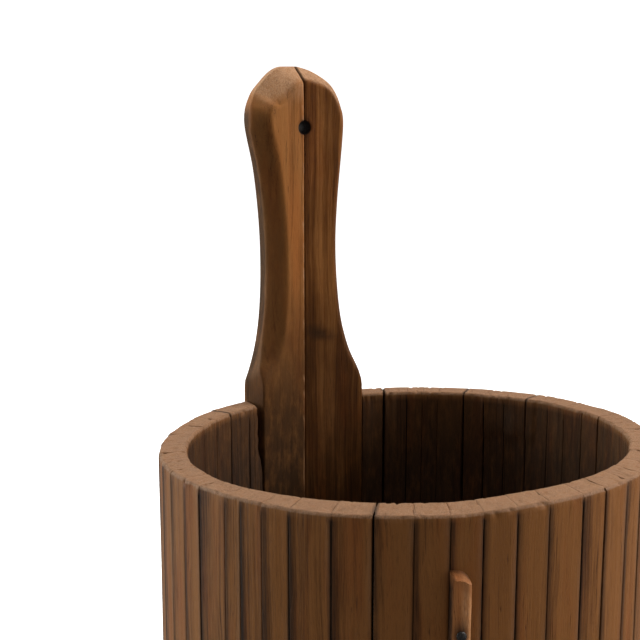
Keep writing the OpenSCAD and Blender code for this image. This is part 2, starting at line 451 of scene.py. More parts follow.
def wood(name, colors, pale, ring_mm, fibre, gloss, shine):
    """Old wood. The layer grain holds each vertex's place in its own board, in millimetres.

    colors are the ramp's colours from dark to light, pale the colour of wear and painted highlights,
    ring_mm the ring spacing, fibre the strength of the raised fibres, gloss how much smoother the surface
    is than raw wood and shine its specular level. The layers of tone, wear and dirt lighten, rub and soil
    the piece, and also carry painted shading, painted highlights and painted shade.
    """
    t = Tree(name)
    grain = t.layer("grain", "Vector")
    tone, wear, dirt = t.layer("tone"), t.layer("wear"), t.layer("dirt")
    # the grain sways from side to side as it runs up the board
    sway = t.noise(grain, (0.03, 0.03, 0.007), 2.0)
    shift = t.add("ShaderNodeCombineXYZ", {"X": t.times(sway, 14.0)}).outputs[0]
    bent = t.moved(grain, shift)
    streaks = t.noise(bent, (0.34, 0.34, 0.006), 3.0, 0.6)
    bands = t.noise(bent, (0.09, 0.09, 0.004), 2.0)
    fibres = t.noise(bent, (2.6, 2.6, 0.045), 5.0, 0.65)
    hairs = t.noise(bent, (7.0, 7.0, 0.16), 3.0, 0.7)
    patches = t.noise(grain, (0.05, 0.05, 0.02), 4.0, 0.6)
    mottle = t.noise(grain, (0.6, 0.6, 0.3), 4.0, 0.65)
    period = 0.314 / ring_mm
    wave = {"Vector": t.scaled(bent, (period, period * 0.35, 0.0)), "Scale": 1.0, "Distortion": 0.0}
    rings = t.add("ShaderNodeTexWave", wave, wave_profile="SAW").outputs["Fac"]
    late = t.window(rings, 0.55, 1.0)
    # lightness: tone of the piece with its painted shading, broad bands, streaks, fibres, patches and the
    # rings' late wood
    sharpness = 0.05 + 0.1 * fibre
    level = t.sum(
        t.times(tone, 0.55),
        t.window(bands, 0.25, 0.75, -0.16, 0.16),
        t.window(streaks, 0.25, 0.75, -0.2, 0.2),
        t.window(fibres, 0.3, 0.7, -sharpness, sharpness),
        t.window(patches, 0.3, 0.7, -0.08, 0.08),
        t.times(late, -0.1),
        0.7,
    )
    color = t.ramp(level, list(zip(WOOD_STOPS, colors)))
    redness = t.window(t.noise(grain, (0.07, 0.07, 0.012), 3.0), 0.45, 0.7, 0.0, 0.55)
    color = t.mix(redness, color, REDDER, "MULTIPLY")
    # worn places, and painted highlights, go pale and mottled
    worn = t.math("MULTIPLY", wear, t.window(mottle, 0.25, 0.62, 0.45, 1.0), clamp=True)
    wear_and_highlight_color = t.mix(t.window(fibres, 0.35, 0.65), (*[c * 0.62 for c in pale], 1), (*pale, 1))
    color = t.mix(worn, color, wear_and_highlight_color)
    # dirt in joints and low places, and painted shade inside the tub and on sides turned from the light
    darkening_breakup = t.noise(grain, (0.22, 0.22, 0.07), 4.0, 0.65)
    dirt_and_shade_share = t.math("MULTIPLY", dirt, t.window(darkening_breakup, 0.25, 0.6, 0.72, 1.06), clamp=True)
    color = t.mix(dirt_and_shade_share, color, DIRT_AND_SHADE_TINT, "MULTIPLY")
    color = t.mix(t.times(dirt_and_shade_share, 0.45), color, DIRT_AND_SHADE_COLOR)
    # thin dark pores, and drying checks along the grain
    pores = t.window(hairs, 0.36, 0.43, 1.0, 0.0)
    ridge = t.math("SUBTRACT", t.noise(bent, (0.8, 0.8, 0.009), 1.0), 0.5)
    line = t.window(t.math("ABSOLUTE", ridge), 0.0, 0.012, 1.0, 0.0)
    here = t.window(t.noise(grain, (0.12, 0.12, 0.013), 1.0), 0.52, 0.6)
    checks = t.times(line, here)
    color = t.mix(t.times(pores, 0.45), color, PORE, "MULTIPLY")
    color = t.mix(t.times(checks, 0.8), color, CHECK, "MULTIPLY")
    # relief and gloss
    height = t.sum(
        t.times(fibres, fibre),
        t.times(streaks, 0.4),
        t.times(late, -0.12),
        t.times(checks, -0.9),
        t.times(pores, -0.3),
        t.times(mottle, 0.25),
    )
    t.shader.inputs["Specular IOR Level"].default_value = shine
    rough = t.window(fibres, 0.25, 0.75, 0.8 - gloss, 0.62 - gloss)
    rough = t.math("ADD", rough, t.times(dirt_and_shade_share, 0.14), clamp=True)
    return t.finish(color, rough, height, 0.45, 0.55)


def iron(name, rust_share):
    """Old forged iron with scale and thin rust. The layer grain holds places in millimetres."""
    t = Tree(name)
    grain = t.layer("grain", "Vector")
    blotch = t.noise(grain, (0.09, 0.09, 0.09), 5.0, 0.65)
    fine = t.noise(grain, (0.9, 0.9, 0.9), 4.0, 0.7)
    pits = t.window(t.noise(grain, (0.45, 0.45, 0.45), 2.0), 0.3, 0.42, 1.0, 0.0)
    mixed = t.sum(t.times(blotch, 0.7), t.times(fine, 0.3))
    rust = t.window(mixed, 0.62 - 0.25 * rust_share, 0.68 - 0.12 * rust_share)
    bare = t.mix(t.window(fine, 0.3, 0.7), (0.018, 0.016, 0.015, 1), (0.055, 0.049, 0.045, 1))
    rusty = t.mix(t.window(fine, 0.35, 0.65), (0.05, 0.018, 0.008, 1), (0.16, 0.06, 0.022, 1))
    color = t.mix(rust, bare, rusty)
    rough = t.window(rust, 0.0, 1.0, 0.42, 0.86)
    metal = t.window(rust, 0.0, 1.0, 0.75, 0.05)
    t.tree.links.new(metal, t.shader.inputs["Metallic"])
    height = t.sum(t.times(fine, 0.5), t.times(rust, 0.35), t.times(pits, -0.5))
    return t.finish(color, rough, height, 0.35, 0.6)


STAVE_WOOD = wood(
    "stave_wood_old",
    [(0.012, 0.0042, 0.001), (0.04, 0.0138, 0.003), (0.108, 0.038, 0.0078), (0.24, 0.092, 0.0225)],
    (0.33, 0.175, 0.09), ring_mm=2.6, fibre=0.9, gloss=0.12, shine=0.15,
)
HANDLE_WOOD = wood(
    "handle_wood_handled",
    [(0.02, 0.0063, 0.0012), (0.06, 0.0186, 0.0034), (0.15, 0.052, 0.011), (0.33, 0.132, 0.036)],
    (0.58, 0.32, 0.17), ring_mm=3.4, fibre=0.45, gloss=0.2, shine=0.06,
)
HEAD_WOOD = wood(
    "head_wood_stained",
    [(0.012, 0.006, 0.003), (0.032, 0.0145, 0.006), (0.07, 0.032, 0.013), (0.14, 0.07, 0.03)],
    (0.26, 0.15, 0.08), ring_mm=4.5, fibre=0.8, gloss=0.08, shine=0.15,
)
CLEAT_WOOD = wood(
    "cleat_wood_orange",
    [(0.06, 0.018, 0.005), (0.15, 0.044, 0.011), (0.27, 0.088, 0.022), (0.44, 0.17, 0.052)],
    (0.62, 0.29, 0.12), ring_mm=2.0, fibre=0.5, gloss=0.22, shine=0.15,
)
DOWEL_WOOD = wood(
    "dowel_wood_plain",
    [(0.12, 0.06, 0.028), (0.24, 0.13, 0.06), (0.36, 0.21, 0.1), (0.5, 0.32, 0.17)],
    (0.55, 0.38, 0.22), ring_mm=2.2, fibre=0.5, gloss=0.15, shine=0.3,
)
HOOP_IRON = iron("hoop_iron_rusted", 0.7)
NAIL_IRON = iron("nail_iron_dull", 0.25)


# -------- staves

STAVE_FACE_N, STAVE_SIDE_N = 15, 6
# Rounding of the rim's edges: inwards, outwards and downwards
RIM_ROUND_IN, RIM_ROUND_OUT, RIM_ROUND_H = 1.8, 1.6, 3
STAVE_HEIGHTS = np.concatenate([
    [0, 0.8, 2.5],
    np.linspace(10, 328, 30),
    np.linspace(335, 394, 18),
    TUB_H - RIM_ROUND_H * (1 - np.sin(np.radians([12, 30, 48, 66, 80, 90]))),
])
# Gaps of the tight joints, in millimetres, one picked at random for each joint
TIGHT_GAPS = (0.08, 0.12, 0.2, 0.34)
# Joints with a gap of their own: plan angle and gap in millimetres
SET_JOINTS = [(110.1, 0.1), (232.1, 1.1), (118.2, 1.2), (65.0, 1.6), (41.2, 1.5), (20.8, 0.8), (34.6, 0.7)]
# A joint whose half gap is over this stands open through the rim
OPEN_GAP = 0.35
# Lightness of staves that differ clearly from their neighbours: 0 dark, 1 light. Staves 18 to 22 are
# lighter also as painted light from the right-hand lamp
STAVE_TONE_AND_LIGHT = {
    10: 0.5, 11: 0.55, 12: 0.3, 13: 0.45, 14: 0.3, 15: 0.42, 16: 0.2, 17: 0.36,
    18: 0.78, 19: 0.68, 20: 0.82, 21: 1.25, 22: 1.3,
}


def half_gap(angle):
    """Half of the gap of the joint at a plan angle."""
    gap = random.choice(TIGHT_GAPS)
    for at, size in SET_JOINTS:
        if abs(angle - at) < 0.9:
            gap = size
    return gap / 2


def chipped_edge(height, through):
    """How much is broken off the first stave's upper edge beside the handle, most on the inside."""
    ragged = 0.5 * np.sin(height * 0.9) + 0.35 * np.sin(height * 2.3)
    missing = 3.6 * smoothstep(352, 372, height) + 0.8 * smoothstep(388, 398, height)
    missing = missing + ragged * smoothstep(350, 360, height)
    return np.clip(missing, 0, None) * (1 - 0.97 * through)


def spall(angle, z):
    """Where a shallow flake has come off the inner face, at the right of the back."""
    lower = TUB_H - 24 + 2.5 * np.sin(angle * 0.9)
    between = smoothstep(17.5, 19.0, angle) * smoothstep(36.5, 35.0, angle)
    return between * smoothstep(lower - 2, lower + 2, z) * 0.35


def pale_spot(angle, z):
    """A rubbed pale oval high on the inner face, at the right of the back."""
    return spot(angle, z, 27.0, TUB_H - 13, 1.6, 8)


def stave_sections(index, start, end, gaps):
    """Level sections of one stave between two plan directions, with an even rim."""
    h = STAVE_HEIGHTS
    levels = len(h)
    width = (end - start) * RIM_R
    arris = random.uniform(0.45, 0.85) * (1 - 0.85 * smoothstep(TUB_H - 12, TUB_H - 2, h))
    arris[:2] = 0.4
    x, y = block_section(np.full(levels, width), np.full(levels, WALL), arris, STAVE_FACE_N, STAVE_SIDE_N)
    across, through = x / width, y / WALL
    height = np.repeat(h[:, None], x.shape[1], axis=1)
    # rounded rim edges, and a small bevel round the foot
    near_top = np.clip((height - (TUB_H - RIM_ROUND_H)) / RIM_ROUND_H, 0, 1)
    pull = 1 - np.sqrt(np.clip(1 - near_top**2, 0, 1))
    foot_bevel = np.where(height < 0.5, 0.8, 0)
    inner = outer_r(height) - WALL + RIM_ROUND_IN * pull + foot_bevel
    outer = outer_r(height) - RIM_ROUND_OUT * pull - foot_bevel
    # each stave sits a little in or out, is a little out of true, and has a flattened outer face
    set_back = random.uniform(0.0, 0.35)
    twist = random.uniform(-0.2, 0.2)
    flat = width**2 / (8 * RIM_R) * random.uniform(0.2, 0.9)
    bulge = 1 - (2 * across - 1) ** 2
    radius = inner + (outer - inner) * through
    radius = radius - set_back + twist * (across - 0.5) * 2 - flat * bulge * through - 0.15
    # joints gape at both faces and stay shut in the middle of the wall, and tight ones at the rim too
    gape = np.maximum(smoothstep(0.5, 0.0, through), smoothstep(0.5, 1.0, through))
    at_rim = 0.9 * smoothstep(TUB_H - 9, TUB_H - 3, height)
    shut = [0.0 if gap > OPEN_GAP else at_rim for gap in gaps]
    low_gap = gaps[0] * (1 + 0.5 * np.sin(height / 57 + index)) * gape * (1 - shut[0])
    high_gap = gaps[1] * (1 + 0.5 * np.sin(height / 71 + 2 * index)) * gape * (1 - shut[1])
    if index == 1:
        low_gap = low_gap + chipped_edge(height, through)
    angle = (start + low_gap / radius) * (1 - across) + (end - high_gap / radius) * across
    return np.stack([radius * np.cos(angle), radius * np.sin(angle), height], axis=2)


class StaveSurface:
    """Where each vertex of a stave lies, and the relief, wear, dirt, tone and painted light and shade that
    it gets from that.
    """

    def __init__(self, index, verts, start, end, gaps):
        self.index = index
        self.width = (end - start) * RIM_R
        turn = np.radians(plan_angles(verts))
        self.degrees = np.degrees(turn)
        # across the stave from its low plan angle, and out from the wall's inner face as a share
        self.u = (turn - start) * RIM_R
        v = radii(verts) - (outer_r(verts[:, Z]) - WALL)
        self.through = v / WALL
        self.inside = smoothstep(0.6, 0.2, self.through)
        self.outside = smoothstep(0.7, 0.95, self.through)
        # the vertices' heights follow the sloping, hand-cut rim
        topness = smoothstep(TUB_H - 6, TUB_H, verts[:, Z])
        top = rim_z(verts[:, X], verts[:, Y]) + random.uniform(-0.1, 0.08)
        fall = front_fall(self.degrees % 360) * (0.3 - self.through)
        rolling = wobble(np.c_[turn * RIM_R, 0 * turn, 0 * turn], (37, 1, 1), 7.3)
        self.z = verts[:, Z] * top / TUB_H
        self.z += topness * (0.3 * rolling + 0.15 * wobble(verts, (6, 6, 30), index) + fall)
        self.place = np.c_[self.u, v, self.z]
        self.waves = wobble(self.place, (9, 9, 90), index * 1.7)
        nick = wobble(self.place, (2.4, 3, 3.5), index * 5.9)
        self.chips = smoothstep(0.25, 0.6, nick) * smoothstep(TUB_H - 9, TUB_H - 1, verts[:, Z])
        self.z -= self.chips * 0.8
        self.topness = topness
        self.depth = top - self.z + topness * fall
        self.near_gap = np.where(self.u < self.width / 2, gaps[0], gaps[1])

    def relief(self):
        """How far the raised grain stands out from both faces, rougher inside."""
        ridges = wobble(self.place, (1.7, 4, 130), self.index * 3.1)
        out = self.outside * (0.13 * ridges + 0.25 * self.waves - 0.1)
        out -= self.inside * (0.32 * ridges + 0.4 * self.waves)
        out -= self.inside * spall(self.degrees, self.place[:, Z]) * 3.2
        return out + self.chips * (self.inside * 0.9 - self.outside * 0.7)

    def wear(self):
        """Pale wear on the rim and in one spot inside, and a painted highlight along the right edge of the
        outer face.
        """
        ragged = wobble(self.place, (3, 3, 9), 2.9 * self.index)
        rim = smoothstep(2.6, 1.2, self.depth + 0.4 * ragged) * 0.95
        rub_and_highlight = smoothstep(-0.35, 0.4, wobble(self.place, (6, 6, 45), 4.4 * self.index))
        # painted highlight along the right edge of each outer face, broken up by noise
        edge = 0.42 * smoothstep(4.5, 1.0, self.width - self.u) * self.outside * rub_and_highlight
        oval = 0.85 * pale_spot(self.degrees, self.z) * self.inside
        return np.maximum(np.maximum(rim, edge), oval)

    def dirt(self):
        """Dirt in the joints, near the floor and beside the hoops, and dirt with painted shade inside the
        tub.
        """
        edge = np.minimum(self.u, self.width - self.u)
        deep = 0.6 + 0.2 * smoothstep(0, 60, self.depth)
        core = smoothstep(1.3, 0.2, edge) * np.clip(0.35 + 3.2 * self.near_gap, 0, 0.9)
        valley = 0.5 * smoothstep(4.5, 0.4, self.u) + 0.3 * smoothstep(2.2, 0.3, self.width - self.u)
        clean_rim = self.topness * (1 - 0.8 * smoothstep(OPEN_GAP, OPEN_GAP + 0.05, self.near_gap))
        joint = np.maximum(core, self.outside * valley) * (1 - clean_rim)
        side = smoothstep(0.15, 0.3, self.through) * smoothstep(0.92, 0.8, self.through)
        side *= smoothstep(0.6, 0.1, edge) * smoothstep(0.8, 3.0, self.depth)
        # painted shade inside the tub, growing with depth below the rim
        dirt = np.maximum(self.inside * deep * smoothstep(0.5, 5, self.depth), joint)
        dirt = np.maximum(dirt, side * 0.9)
        dirt = np.maximum(dirt, self.outside * 0.5 * smoothstep(34, 0, self.z))
        return np.maximum(dirt, self.outside * hoop_stain(self.z) * 0.6)

    def tone(self):
        """Tone with painted shading: outside, each face goes from dark at its left edge to light at its
        right edge.
        """
        painted_right_light = smoothstep(0.0, 1.0, self.u / self.width + 0.12 * self.waves)
        tone = STAVE_TONE_AND_LIGHT.get(self.index, random.uniform(0.25, 0.75))
        tone = tone + 0.85 * (painted_right_light - 0.5) * self.outside
        # the inside at the left is darker, and the outside behind the handle is painted darker as shade
        around = self.degrees % 360
        left = smoothstep(100, 110, around) * smoothstep(215, 190, around)
        behind = smoothstep(0.1, 0.7, np.sin(np.radians(self.degrees)))
        return tone - (0.35 * self.inside * left + 0.25 * self.outside * behind)


def stave(index, gaps):
    """One stave. gaps are the half gaps of its two joints, the one at the low plan angle first."""
    name = f"stave_{index:02d}"
    angles = plan_angles(cad_points(name))
    start, end = math.radians(angles.min()), math.radians(angles.max())
    verts, faces = block(stave_sections(index, start, end, gaps), STAVE_FACE_N, STAVE_SIDE_N)
    surface = StaveSurface(index, verts, start, end, gaps)
    outwards = verts[:, :2] / radii(verts)[:, None]
    xy = verts[:, :2] + outwards * surface.relief()[:, None]
    wear, dirt, tone = surface.wear(), surface.dirt(), surface.tone()
    offset = np.array([random.uniform(0, 900), random.uniform(0, 900), random.uniform(0, 900)])
    add_piece(
        name, np.c_[xy, surface.z], faces, STAVE_WOOD, "stave_wood",
        grain=surface.place + offset, tone=tone, wear=wear, dirt=dirt,
    )


def staves():
    count = sum(1 for n in frame["nodes"] if n.startswith("stave_"))
    spans = [plan_angles(cad_points(f"stave_{i + 1:02d}")) for i in range(count)]
    gaps = [half_gap(s.min()) for s in spans] + [half_gap(spans[-1].max())]
    for i in range(count):
        stave(i + 1, (gaps[i], gaps[i + 1]))


# -------- handle boards

BOARD_FACE_N, BOARD_SIDE_N = 26, 8
BOARD_HEIGHTS = np.unique(np.round(np.concatenate([
    [0, 0.8, 2.5],
    np.linspace(12, 378, 34),
    np.arange(382, 596, 3.5),
    HOLE_Z + HOLE_R * np.cos(np.radians(np.arange(0, 181, 15))),
    np.linspace(597, 616, 16),
    np.linspace(616.4, HANDLE_TOP - 0.25, 20),
]), 3))
# Nominal thickness, in which the sections are laid out before they take their real depth
BOARD_T = 20
# The worn back edge above the rim: its width in the face and its depth
BACK_ROUND_W, BACK_ROUND_D = 2.5, 1.8
LEFT, RIGHT = -1, 1


def bevel_legs(side, x, z, up):
    """In-plane and depth legs of the worn front bevel. up says how much the outline faces up there."""
    crown = smoothstep(0.2, 0.75, up) * smoothstep(590, 600, z)
    if side == LEFT:
        along, deep = 12.5 * smoothstep(402, 432, z), 11 * smoothstep(402, 450, z)
        crown_in, crown_deep = 11.5 + 6 * smoothstep(2, 14, x), 14.5
    else:
        along = deep = 4 * smoothstep(404, 430, z)
        crown_in, crown_deep = 9 - 4 * smoothstep(2, 20, x), 12 - 7 * smoothstep(2, 22, x)
    return along + (crown_in - along) * crown, deep + (crown_deep - deep) * crown


def board_sections(side, edge_angle, outline):
    """Level sections of one board, as if it stood to the right of the middle joint."""
    order = np.argsort(outline[:, 1])
    foot_w, foot_z = outline[0]
    h = BOARD_HEIGHTS
    half = np.interp(h, outline[order, 1], outline[order, 0])
    half = np.where(h < foot_z, foot_w, half)
    width = np.maximum(np.minimum(half, 37), 1.2)
    arris = np.minimum(1.0, width * 0.25)
    x, y = block_section(width, np.full(len(h), BOARD_T), arris, BOARD_FACE_N, BOARD_SIDE_N)
    # shares of the board's width from the middle joint, and of its depth from the front
    s, v = x / width[:, None], y / BOARD_T
    z = np.repeat(h[:, None], x.shape[1], axis=1)
    middle = math.radians((90 + edge_angle) / 2)
    spread = abs(math.tan(math.radians(edge_angle - 90)))
    # the joint opens into a crack at the crown but stays shut inside, and the hole is cut from it
    crack = 0.05 + 0.35 * smoothstep(598, 618, z) + 0.02 * np.sin(z / 23)
    crack = crack * smoothstep(0.13, 0.38, abs(v - 0.5))
    notch = np.sqrt(np.clip(HOLE_R**2 - (z - HOLE_Z) ** 2, 0, None))
    start = np.maximum(crack, notch)
    reach = np.interp(z, outline[order, 1], outline[order, 0])
    reach = np.where(z < foot_z, 60, reach)
    # below the rim the width depends on the depth and the depth on the width, so both settle in turn
    px = s * 35
    for _ in range(3):
        front = (BOARD_INNER_R - LEAN * (TUB_H - z) - side * px * math.cos(middle)) / math.sin(middle)
        back = np.sqrt(board_outer(z) ** 2 - px**2)
        gap, up = outline_distance(px, z, outline)
        leg_in, leg_deep = bevel_legs(side, px, z, up)
        t = np.clip(1 - gap / np.maximum(leg_in, 0.01), 0, 1)
        worn = np.where(z > 398, leg_deep * t ** (1.25 if side == LEFT else 1.3), 0)
        t_back = np.clip(1 - gap / BACK_ROUND_W, 0, 1)
        back = back - np.where(z > 402, BACK_ROUND_D * (1 - np.sqrt(1 - t_back**2 * 0.98)), 0)
        py = (front + worn) * (1 - v) + back * v
        edge_x = np.minimum(reach, py * spread - 0.25)
        px = start + s * np.maximum(edge_x - start, 0.15)
    return np.stack([px, py, z], axis=2)


class BoardSurface:
    """Where each vertex of a handle board lies, and the wear, dirt, painted highlight and painted shade
    that it gets from that.
    """

    def __init__(self, side, verts, outline, edge_angle):
        self.side = side
        self.x, flat_y, self.z = verts.T
        self.place = np.c_[self.x * side, flat_y, self.z]
        # hand-cut undulation of the front face, in depth only
        self.front = smoothstep(10, 0, flat_y - BOARD_INNER_R)
        broad = wobble(self.place, (14, 30, 34), 3.3 * side)
        fine = wobble(self.place, (3, 30, 60), 9.1 * side)
        self.y = flat_y + self.front * (0.28 * broad + 0.1 * fine)
        self.gap, up = outline_distance(self.x, self.z, outline)
        leg_in, _ = bevel_legs(side, self.x, self.z, up)
        self.on_bevel = smoothstep(0.0, 0.35, 1 - self.gap / np.maximum(leg_in, 0.01)) * (self.z > 400)
        self.in_edge = smoothstep(3.5, 1.5, self.y * abs(math.tan(math.radians(edge_angle - 90))) - self.x)
        # the left board's edge along the joint is rubbed pale in speckles, with a painted highlight where
        # the proud edge catches the light
        share = 0.85 + 0.1 * np.maximum(smoothstep(585, 610, self.z), smoothstep(470, 440, self.z))
        speckle = smoothstep(-0.1, 0.5, wobble(self.place, (1.2, 3, 3.2), 4.4))
        self.rub_and_highlight = smoothstep(2.4, 0.6, self.x) * self.front * share * (side == LEFT) * speckle

    def wear(self):
        """Pale wear on the crown and along the outline, and pale wear with a painted highlight on the left
        board's joint edge.
        """
        crown = smoothstep(593, 612, self.z + 5 * wobble(self.place, (9, 30, 9), 2.2))
        bare = self.on_bevel if self.side == RIGHT else np.maximum(self.on_bevel, 0.4)
        outline = 0.2 * smoothstep(1.5, 0.3, self.gap) * (self.z > 410)
        return np.maximum(np.maximum(crown * bare * 0.95, self.rub_and_highlight), outline)

    def dirt(self):
        """Darker towards the bottom, as painted shade below the rim; a painted shadow along the joint;
        painted shade on sides turned from the light and in the hole; dirt round the hole, by the hoops and
        at a knot.
        """
        x, z = self.x, self.z
        # both boards darken towards the bottom; below the rim this is painted shade inside the tub
        low, lower, high = (0.74, 0.12, 0.52) if self.side == LEFT else (0.34, 0.2, 0.32)
        low = low + lower * smoothstep(408, 330, z)
        high = high * smoothstep(500, 418, z)
        dirt = high + (low - high) * smoothstep(428, 385, z)
        behind = self.y - BOARD_INNER_R
        # painted shadow: a dark line on the right board along the joint, beside the left board's proud
        # edge
        if self.side == RIGHT:
            dirt = np.maximum(dirt, 0.35 * smoothstep(1.3, 0.2, x) * smoothstep(430, 470, z))
        # painted shade on the board's side below the rim, seen through the open joint beside the chipped
        # stave
        dirt = np.maximum(dirt, 0.75 * self.in_edge * smoothstep(9, 15, behind) * smoothstep(410, 395, z))
        # painted shade on the left board's left side and front bevel, which face away from the right-hand
        # light
        if self.side == LEFT:
            shade = np.maximum(0.34 * self.on_bevel, 0.72 * smoothstep(7, 12, behind))
            dirt = np.maximum(dirt, shade * smoothstep(602, 588, z))
        back = smoothstep(2.4, 0.8, np.sqrt(board_outer(z) ** 2 - x**2) - self.y)
        dirt = dirt * (1 - 0.85 * self.rub_and_highlight) * (1 - 0.5 * back)
        dirt = np.maximum(dirt, 0.6 * back * hoop_stain(z))
        from_hole = np.hypot(x, z - HOLE_Z) - HOLE_R
        dirt = np.maximum(dirt, smoothstep(2.6, 0.4, abs(from_hole)) * 0.25)
        # the bore of the hole is painted dark as shade
        dirt = np.where((from_hole < 0.3) & (self.front < 0.9), 0.95, dirt)
        if self.side == RIGHT:
            smudge = spot(x, z + 0.25 * x, 11, 446.5, 13, 6)
            dirt = np.maximum(dirt, 0.75 * smudge * self.front)
        return dirt


def handle_board(node, side, edge_angle, outline_points, tone):
    """One of the handle's two boards, from the floor to the crown."""
    outline = smooth_outline([(w, TUB_H + up) for w, up in outline_points], 8)
    verts, faces = block(board_sections(side, edge_angle, outline), BOARD_FACE_N, BOARD_SIDE_N)
    surface = BoardSurface(side, verts, outline, edge_angle)
    offset = np.array([40.0 if side == LEFT else 310.0, 17.0, 5.0])
    add_piece(
        node, np.c_[surface.x * side, surface.y, surface.z], faces, HANDLE_WOOD, "handle_wood",
        grain=surface.place + offset, tone=np.full(len(verts), tone),
        wear=surface.wear(), dirt=surface.dirt(),
    )


# -------- bottom head

HEAD_BOARDS = [f"head_board_{number}" for number in range(1, 5)]
HEAD_R = max(abs(y) for node in HEAD_BOARDS for y in span(node, Y))
HEAD_FACE_N, HEAD_SIDE_N = 30, 10
HEAD_SEAM = 0.35
# The edge that fits the croze: its thickness and how far it reaches in
HEAD_TONGUE_T = 8
HEAD_TONGUE_L = 5.3


def head_board(number):
    """One board of the bottom head. Its round end is thinned to fit the croze in the staves."""
    node = HEAD_BOARDS[number - 1]
    y0, y1 = span(node, Y)
    z0, z1 = span(node, Z)
    step = (z1 - z0 - HEAD_TONGUE_T) / 2
    # profile of the round edge from below: distance from the full radius, height, bevel of the seams
    profile = [
        (12.2, z0, 0.6), (11.6, z0 + 0.5, 0.0), (HEAD_TONGUE_L, z0 + step, 0.0), (0.2, z0 + step, 0.0),
        (0.2, z1 - step, 0.0), (HEAD_TONGUE_L, z1 - step, 0.0), (11.6, z1 - 0.5, 0.0), (12.2, z1, 0.7),
    ]
    on_side = side_points(HEAD_SIDE_N)
    sections = []
    for inset, z, bevel in profile:
        r = HEAD_R - inset
        a, b = max(y0 + HEAD_SEAM + bevel, -r + 0.6), min(y1 - HEAD_SEAM - bevel, r - 0.6)
        ys = np.linspace(a, b, on_side + 2)
        half = np.sqrt(np.clip(r * r - ys**2, 0, None))
        near = [(x, a) for x in np.linspace(-half[0], half[0], HEAD_FACE_N + 1)]
        right = [(half[j], ys[j]) for j in range(1, on_side + 1)]
        far = [(x, b) for x in np.linspace(half[-1], -half[-1], HEAD_FACE_N + 1)]
        left = [(-half[j], ys[j]) for j in range(on_side, 0, -1)]
        sections.append([(px, py, z) for px, py in near + right + far + left])
    verts, faces = block(np.array(sections), HEAD_FACE_N, HEAD_SIDE_N)
    swell = wobble(verts, (60, 3.5, 200), number * 2.3)
    top = smoothstep(z1 - 1, z1, verts[:, Z])
    verts[:, Z] += top * (0.2 * swell - 0.25) + top * 0.5 * wobble(verts, (90, 25, 50), number)
    edge = np.minimum(verts[:, Y] - y0, y1 - verts[:, Y])
    from_wall = HEAD_R - radii(verts)
    dirt = np.maximum(0.55 * smoothstep(3, 0.4, edge), 0.6 * smoothstep(26, 11, from_wall))
    add_piece(
        node, verts, faces, HEAD_WOOD, "head_wood",
        grain=verts[:, [Y, Z, X]] + 130.0 * number, tone=np.full(len(verts), random.uniform(0.35, 0.6)),
        wear=0.25 * smoothstep(0.2, 0.8, wobble(verts, (30, 12, 30), 5.0)), dirt=np.maximum(dirt, 0.35),
    )


# -------- hoops and rivets

HOOP_T = 1.5
# Length of the lap where a hoop's ends overlap, and its rivets' distance from the lap's middle
LAP_L = 42
RIVET_STEP = 9
# Heights of the two rows of rivets, as shares of the hoop's width
RIVET_ROWS = (0.28, 0.72)
RIVET_SHANK_R = 2.0
RIVET_HEAD_R = 4.25
RIVET_HEAD_H = 2.2


def lap_direction(node):
    """Plan direction of a hoop's lap: the middle of the part that stands furthest out."""
    points = cad_points(node)
    upright_r = radii(points) - LEAN * points[:, Z]
    out = points[upright_r > upright_r.max() - 0.3]
    total = out[:, :2].sum(axis=0)
    return math.atan2(total[1], total[0])


def hoop(node, seed):
    """A flat iron band round the wall, whose end overlaps its beginning."""
    low, high = span(node, Z)
    lap = LAP_L / RIM_R
    full = 2 * math.pi
    start = lap_direction(node) - lap / 2
    turns = np.concatenate([
        np.linspace(0, lap * 1.3, 26),
        np.linspace(lap * 1.4, full - lap * 0.5, 220),
        np.linspace(full - lap * 0.45, full + lap, 40),
    ])
    sections = []
    for a in turns:
        along = a * RIM_R
        to_end = min(along, (full + lap) * RIM_R - along)
        # the corners of both ends are clipped, and the last end climbs over the first
        clip = 3.0 * max(0.0, 1 - to_end / 3.5)
        over = float(smoothstep(full - lap * 0.4, full - lap * 0.05, a)) * HOOP_T
        z0, z1 = low + clip, high - clip
        zs = np.linspace(z0 + 0.35, z1 - 0.35, 11)
        bow = 0.18 * np.sin((zs - low) / (high - low) * math.pi)
        front = [(over + HOOP_T - 0.12 + b * 0.6, z) for b, z in zip(bow, zs)]
        loop = [(over, z0 + 0.3), (over + 0.35, z0), (over + HOOP_T - 0.5, z0)] + front
        loop += [(over + HOOP_T - 0.5, z1), (over + 0.35, z1), (over, z1 - 0.3)]
        ring = []
        for out, z in loop:
            dent = 0.12 * noise.noise(Vector((along / 11, z / 11, seed))) - 0.1
            r = outer_r(z) + out + (dent if out > over + 0.6 else 0)
            ring.append((r * math.cos(start + a), r * math.sin(start + a), z))
        sections.append(ring)
    verts, faces = strip(np.array(sections))
    unrolled = np.c_[np.repeat(turns, len(sections[0])) * RIM_R, radii(verts), verts[:, Z]]
    add_piece(node, verts, faces, HOOP_IRON, "hoop_iron", grain=unrolled + 70.0 * seed)


